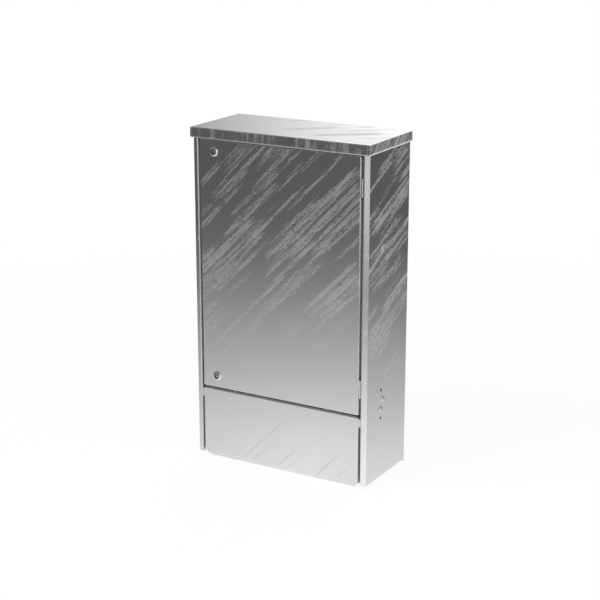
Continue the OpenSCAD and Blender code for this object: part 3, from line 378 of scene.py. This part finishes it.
dress(galvanised("left_zinc", slant=45.0, bands=[
    (690, 10, 560, 700, 1.2), (640, 26, 300, 800, 1.2), (600, 10, 420, 640, 1.2), (570, 12, 470, 640, 1.1),
    (520, 16, 150, 520, 1.3), (470, 8, 330, 480, 1.2), (420, 14, 250, 520, 1.2), (360, 20, 100, 420, 1.1),
    (300, 12, 180, 330, 1.0), (230, 10, 90, 260, 0.9),
], chalk=side_chalk, folds=dull_returns), "left_side")


# Back panel: a flat sheet of the same stock, lapped over the side panels' flanges
# and riveted down both edges.

dress(galvanised("back_zinc", slant=45.0, bands=[
    (720, 20, 420, 620, 1.1), (655, 26, 300, 560, 1.1), (585, 10, 480, 760, 1.2), (520, 30, 380, 700, 1.1),
    (455, 14, 200, 560, 1.2), (400, 12, 500, 780, 1.1), (345, 26, 120, 420, 1.0), (270, 14, 380, 620, 1.1),
    (200, 10, 150, 330, 0.9), (110, 12, 40, 200, 0.9),
]), "back_panel")


# Roof: a shallow cap of the same sheet, with a hem folded inside its skirt and studs that hold it
# from inside. The skirt's streaks stand upright in front. Its lower edge carries a painted highlight
# of pale matt zinc at the ends, and is rolled slightly under in front.

roof_foot = 950.5
hem_height = 3.7
hem_edge = 0.2
# Painted highlight: the shade of the pale matt strip along the foot of the skirt's ends.
hem_highlight_shade = 0.64
hem_roll = 0.21
roof_front_cover = 0.9
roof_end_cover = 1.25
roof_top_cover = 0.7
skirt_fineness = 0.3


def skirt_streaks(sheet):
    """Covers the skirt in streaks all round, and stands them upright in front."""
    skirt_cover = sheet.front.blend(roof_end_cover, roof_front_cover)
    sheet.cover = sheet.level.blend(skirt_cover, sheet.cover.most(roof_top_cover))
    sheet.along = sheet.front.blend(sheet.along, sheet.up)
    sheet.over = sheet.front.blend(sheet.over, sheet.across * skirt_fineness)


def hem_highlight_and_roll(sheet):
    """Painted highlight of pale matt zinc along the foot of the skirt's ends, and a slight roll under along
    its front.
    """
    hem = (sheet.z - roof_foot).between(hem_height + hem_edge, hem_height - hem_edge)
    end_hem_highlight = hem * (1.0 - sheet.front)
    sheet.metal = sheet.metal * (1.0 - end_hem_highlight)
    sheet.shade = end_hem_highlight.blend(sheet.shade, hem_highlight_shade)
    below = (roof_foot + hem_height - sheet.z).most(0.0)
    sheet.relief = sheet.relief - below * sheet.front * hem_roll


dress(galvanised("roof_zinc", slant=40.0, bands=[
    (-4, 12, -45, 100, 1.8), (-112, 16, 20, 190, 1.8), (73, 12, -160, -90, 1.1), (184, 14, -130, -50, 1.0),
    (125, 8, -15, 35, 1.3), (-220, 12, 90, 170, 1.0), (-10, 10, 165, 200, 1.6), (85, 8, -140, -100, 1.3),
    (-60, 12, 130, 260, 1.2), (-130, 12, 120, 230, 1.2), (-180, 14, 130, 260, 1.2), (30, 10, 80, 200, 1.2),
], chalk=(0.20, 0.42, 0.34), dull_shade=0.56, beads=0.9, skirt=skirt_streaks, edges=hem_highlight_and_roll), "roof")


# Rails, uprights and cross rails: zinc-coated steel strip, folded, and dull where it shows.
# They are welded or bolted inside the shell, round the door opening and behind the fuse rails.

strip_zinc = galvanised("strip_zinc", slant=45.0, bands=[], folds=dull_returns)
dress(strip_zinc, "top_rail", "sill_rail", "toe_rail", "left_upright", "right_upright",
      "upper_cross_rail", "lower_cross_rail", "neutral_rail", "cable_clamp_rail")


# Door: one galvanised sheet folded into a tray, with dull edges and, behind them, lips for the seal.
# A stiffener of folded strip is welded up its back, and it hangs on the two hinges at its right.

door_chalk = (0.18, 0.6, 0.18)
tray_dullness = 0.8


def dull_tray(sheet):
    """Dulls the folded edges of a tray: all that doesn't face the front or the back."""
    sheet.rubbed = sheet.rubbed.most((1.0 - sheet.front) * tray_dullness)


dress(galvanised("door_zinc", slant=45.0, bands=[
    (757, 8, 405, 475, 1.3), (745, 14, 520, 590, 1.0), (725, 12, 490, 605, 1.15), (714, 5, 410, 470, 1.0),
    (700, 6, 430, 640, 1.35), (688, 7, 435, 545, 1.25), (672, 6, 430, 500, 1.15), (675, 10, 580, 660, 1.1),
    (695, 7, 325, 385, 1.1), (672, 7, 300, 400, 1.35), (657, 10, 640, 720, 1.2), (641, 9, 555, 700, 1.3),
    (630, 6, 420, 600, 1.25), (619, 5, 575, 700, 1.15), (603, 8, 235, 300, 1.25), (601, 10, 365, 570, 1.35),
    (581, 12, 200, 440, 1.5), (588, 8, 560, 680, 0.9), (578, 7, 695, 765, 1.1), (556, 9, 190, 490, 1.2),
    (543, 5, 190, 640, 1.4), (527, 5, 590, 810, 1.35), (530, 8, 170, 440, 1.3), (518, 7, 160, 350, 1.2),
    (506, 6, 220, 450, 1.35), (484, 12, 90, 200, 1.2), (462, 12, 75, 190, 1.15), (445, 10, 50, 190, 1.2),
    (481, 10, 245, 365, 0.95), (493, 8, 480, 650, 1.15), (475, 9, 430, 800, 1.4), (460, 8, 440, 810, 1.3),
    (441, 7, 400, 790, 1.4), (429, 6, 480, 790, 1.4), (411, 6, 400, 790, 1.45), (403, 5, 40, 420, 1.45),
    (393, 7, 560, 775, 1.4), (376, 11, 300, 730, 1.25), (362, 11, 60, 540, 1.3), (335, 6, 600, 695, 1.05),
    (292, 8, 420, 620, 1.5), (270, 10, 430, 610, 1.6), (249, 8, 455, 630, 1.5), (231, 7, 390, 605, 1.5),
    (190, 7, 375, 515, 1.2), (275, 12, 305, 375, 0.95), (225, 8, 262, 302, 0.95), (280, 8, 212, 255, 0.9),
], chalk=door_chalk, folds=dull_tray), "door")
dress(strip_zinc, "door_stiffener")


# Lower cover: a folded sheet with a lip kicked back along the ground, and a painted highlight of pale matt
# zinc along that bend.
# Hooks of bent strip are welded behind it and hang in slots in the toe rail.

kick_z = 15.5
# Where the painted highlight along the bend fades out and where it is whole, in millimetres from the bend.
kick_highlight_reach = (2.0, 1.2)


def kick_highlight(sheet):
    """Painted highlight: pale matt zinc along the bend above the kicked-back lip."""
    bend = (sheet.z - kick_z).size().between(*kick_highlight_reach)
    sheet.metal = sheet.metal * (1.0 - sheet.front * bend)


dress(galvanised("cover_zinc", slant=45.0, bands=[
    (100, 4, -60, 90, 1.3), (76, 5, -45, 40, 1.3), (15, 5, 15, 95, 1.3), (-5, 4, 50, 95, 1.2),
    (-75, 4, 105, 210, 1.3), (-118, 6, 150, 185, 1.1), (182, 12, -165, -100, 0.9), (62, 7, -5, 45, 0.8),
], chalk=door_chalk, folds=dull_tray, edges=kick_highlight), "lower_cover")
dress(strip_zinc, "cover_hooks")


# Bolts, nuts, rivets and hinges: zinc-plated steel, cold formed or pressed, a little duller
# than the sheet and lightly mottled.

plating_shade = 0.66
plating_green = 1.005
plating_blue = 1.01
plating_roughness = 0.28
mottle_fineness = 420.0
mottle_shade = 0.16
mottle_roughness = 0.2
mottle_height = 0.0003


def plated_steel(name):
    material, paint = new_material(name)
    place = paint.node("TexCoord", {}, {}, "Object")
    mottle = paint.node("TexNoise", {}, {"Vector": place, "Scale": mottle_fineness, "Detail": 4.0})
    shade = plating_shade + (mottle - 0.5) * mottle_shade
    bump = paint.node("Bump", {}, {"Height": mottle, "Strength": 0.08, "Distance": mottle_height})
    finish_surface(paint, paint.node("BsdfPrincipled", {}, {
        "Base Color": shade.grey(plating_green, plating_blue),
        "Metallic": 1.0,
        "Roughness": plating_roughness + (mottle - 0.5) * mottle_roughness,
        "Normal": bump,
    }))
    return material


dress(plated_steel("plated_steel"),
      "back_rivets", "roof_studs", "roof_nuts", "side_bolts", "side_nuts", "cross_rail_bolts",
      "bar_screws", "cover_screws", "upper_hinge_frame_leaf", "lower_hinge_frame_leaf", "hinge_pins",
      "hinge_frame_rivets", "upper_hinge_door_leaf", "lower_hinge_door_leaf", "hinge_door_rivets",
      "lock_nuts", "upper_lock_cam", "lower_lock_cam", "upper_cam_nut", "lower_cam_nut")


# Locks: die-cast housings with a domed, polished rim round a dull socket, painted dark as the shade
# in its recess, and a worn steel spindle that turns in each, with a triangular key head down in the socket.

lock_x = -0.208
upper_lock_z = 0.9155
lower_lock_z = 0.255
socket_r = 0.008
# Painted shade: the socket's dark colour stands in for the shadow down in its recess.
socket_painted_shade = 0.12
socket_roughness = 0.45
rim_shade = 0.76
rim_roughness = 0.14
rim_inner = socket_r - 0.0002
rim_outer = socket_r + 0.0004
casting_blue = 0.99
haze_fineness = 260.0
haze_shade = 0.05
haze_roughness = 0.1


def polished_casting(name, lock_z):
    """Bright metal outside the socket's edge, and inside it a dark painted shade for the recess."""
    material, paint = new_material(name)
    place = paint.node("TexCoord", {}, {}, "Object")
    haze = paint.node("TexNoise", {}, {"Vector": place, "Scale": haze_fineness, "Detail": 3.0})
    flat = paint.node("VectorMath", {"operation": "MULTIPLY"}, {0: place, 1: (1.0, 0.0, 1.0)})
    lock_middle = (lock_x, 0.0, lock_z)
    out = paint.node("VectorMath", {"operation": "DISTANCE"}, {0: flat, 1: lock_middle}, "Value")
    rim = out.between(rim_inner, rim_outer)
    shade = rim.blend(socket_painted_shade, rim_shade) + (haze - 0.5) * haze_shade
    finish_surface(paint, paint.node("BsdfPrincipled", {}, {
        "Base Color": shade.grey(blue=casting_blue),
        "Metallic": 1.0,
        "Roughness": rim.blend(socket_roughness, rim_roughness) + (haze - 0.5) * haze_roughness,
    }))
    return material


spindle_shade = 0.60
spindle_roughness = 0.36
wear_fineness = 320.0
wear_depth = 0.2


def worn_steel(name):
    material, paint = new_material(name)
    place = paint.node("TexCoord", {}, {}, "Object")
    worn = paint.node("TexNoise", {}, {"Vector": place, "Scale": wear_fineness, "Detail": 4.0})
    uneven = (worn - 0.5) * wear_depth
    shade = spindle_shade + uneven
    finish_surface(paint, paint.node("BsdfPrincipled", {}, {
        "Base Color": shade.grey(),
        "Metallic": 1.0,
        "Roughness": spindle_roughness + uneven,
    }))
    return material


dress(polished_casting("upper_lock_casting", upper_lock_z), "upper_lock_housing")
dress(polished_casting("lower_lock_casting", lower_lock_z), "lower_lock_housing")
dress(worn_steel("spindle_steel"), "upper_lock_spindle", "lower_lock_spindle")


# Door seal: a ring of extruded black rubber with a foot and a raised bead. It sits on the door's
# lips and meets the door stop when the door is shut.

seal_black = (0.028, 0.028, 0.03)
drift_fineness = 30.0
drift_shade = 0.18
drift_roughness = 0.12


def plain_moulding(name, colour, roughness, grain_fineness, grain_depth):
    """Rubber or moulded plastic: one colour, faintly uneven, with a fine moulded grain."""
    material, paint = new_material(name)
    place = paint.node("TexCoord", {}, {}, "Object")
    uneven = paint.node("TexNoise", {}, {"Vector": place, "Scale": drift_fineness, "Detail": 4.0})
    grain = paint.node("TexNoise", {}, {"Vector": place, "Scale": grain_fineness, "Detail": 2.0})
    drift = 1.0 + (uneven - 0.5) * drift_shade
    tint = paint.node("CombineColor", {}, {channel: drift * part for channel, part in enumerate(colour)})
    bump = paint.node("Bump", {}, {"Height": grain, "Strength": 0.25, "Distance": grain_depth})
    finish_surface(paint, paint.node("BsdfPrincipled", {}, {
        "Base Color": tint,
        "Roughness": roughness + (uneven - 0.5) * drift_roughness,
        "Normal": bump,
    }))
    return material


seal_rubber = plain_moulding("seal_rubber", seal_black, roughness=0.62,
                             grain_fineness=1500.0, grain_depth=0.0002)
dress(seal_rubber, "door_seal")


# Bars and contacts: copper, bare and slightly browned, with draw lines along it. The phase bars
# and the neutral bar are drawn strip on insulating holders, and the contacts grip the fuse links.

copper_bright = (0.78, 0.42, 0.26, 1.0)
copper_brown = (0.45, 0.22, 0.13, 1.0)
bright_roughness = 0.26
brown_roughness = 0.42
brown_fineness = 14.0
brown_edge = (0.45, 0.75)
draw_fineness = (6.0, 300.0, 300.0)
draw_roughness = 0.2


def drawn_copper(name):
    material, paint = new_material(name)
    place = paint.node("TexCoord", {}, {}, "Object")
    stretched = paint.node("VectorMath", {"operation": "MULTIPLY"}, {0: place, 1: draw_fineness})
    draw = paint.node("TexNoise", {}, {"Vector": stretched, "Scale": 1.0, "Detail": 3.0})
    stain = paint.node("TexNoise", {}, {"Vector": place, "Scale": brown_fineness, "Detail": 5.0})
    brown = stain.between(*brown_edge)
    colour = paint.node("Mix", {"data_type": "RGBA"}, {0: brown, 6: copper_bright, 7: copper_brown}, 2)
    finish_surface(paint, paint.node("BsdfPrincipled", {}, {
        "Base Color": colour,
        "Metallic": 1.0,
        "Roughness": brown.blend(bright_roughness, brown_roughness) + (draw - 0.5) * draw_roughness,
    }))
    return material


dress(drawn_copper("bar_copper"), "top_phase_bar", "middle_phase_bar", "bottom_phase_bar", "neutral_bar",
      "fuse_contacts")


# Fuse rails, holders and barriers: insulating plastics. The rails' bases are moulded in black, the
# bars' holders and insulators in brick red, and the barriers between the rails are cut from grey sheet.

fuse_rails = (1, 2, 3, 4)
base_black = (0.035, 0.037, 0.04)
holder_red = (0.20, 0.045, 0.03)
barrier_grey = (0.40, 0.41, 0.40)

fuse_moulding = plain_moulding("fuse_moulding", base_black, roughness=0.5,
                               grain_fineness=900.0, grain_depth=0.0003)
holder_moulding = plain_moulding("holder_moulding", holder_red, roughness=0.45,
                                 grain_fineness=900.0, grain_depth=0.0003)
barrier_sheet = plain_moulding("barrier_sheet", barrier_grey, roughness=0.5,
                               grain_fineness=700.0, grain_depth=0.0002)
dress(fuse_moulding, *(f"fuse_base_{rail}" for rail in fuse_rails))
dress(holder_moulding, "left_bar_holder", "right_bar_holder", "neutral_insulators")
dress(barrier_sheet, "phase_barriers")


# Fuse links: glazed ceramic bodies on one silver-plated blade each, which pushes into the contacts.
# Three of them stand above each other on every fuse rail.

link_rows = 3
link_half = 0.0371
blade_half = 0.078
glaze_light = (0.74, 0.71, 0.64, 1.0)
glaze_dark = (0.69, 0.66, 0.59, 1.0)
blade_silver = (0.82, 0.81, 0.78, 1.0)
glaze_roughness = 0.22
flow_fineness = 45.0
flow_roughness = 0.12
flow_height = 0.0006


def link_ceramic(name, node):
    """Pale glaze with faint flow marks on the bodies, and soft bright metal where the blade shows."""
    material, paint = new_material(name)
    low, high = (corner[2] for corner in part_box(node))
    step = (high - low - 2 * blade_half) / (link_rows - 1)
    place = paint.node("TexCoord", {}, {}, "Object")
    height = paint.node("SeparateXYZ", {}, {0: place}, "Z")
    blade = 1.0
    for row in range(link_rows):
        body_middle = low + blade_half + row * step
        blade = ((height - body_middle).size() > link_half) * blade
    flow = paint.node("TexNoise", {}, {"Vector": place, "Scale": flow_fineness, "Detail": 4.0})
    glaze = paint.node("Mix", {"data_type": "RGBA"}, {0: flow, 6: glaze_light, 7: glaze_dark}, 2)
    colour = paint.node("Mix", {"data_type": "RGBA"}, {0: blade, 6: glaze, 7: blade_silver}, 2)
    bump = paint.node("Bump", {}, {"Height": flow, "Strength": 0.2, "Distance": flow_height})
    finish_surface(paint, paint.node("BsdfPrincipled", {}, {
        "Base Color": colour,
        "Metallic": blade,
        "Roughness": glaze_roughness + (flow - 0.5) * flow_roughness,
        "Normal": bump,
    }))
    return material


for rail in fuse_rails:
    dress(link_ceramic(f"link_ceramic_{rail}", f"fuse_links_{rail}"), f"fuse_links_{rail}")
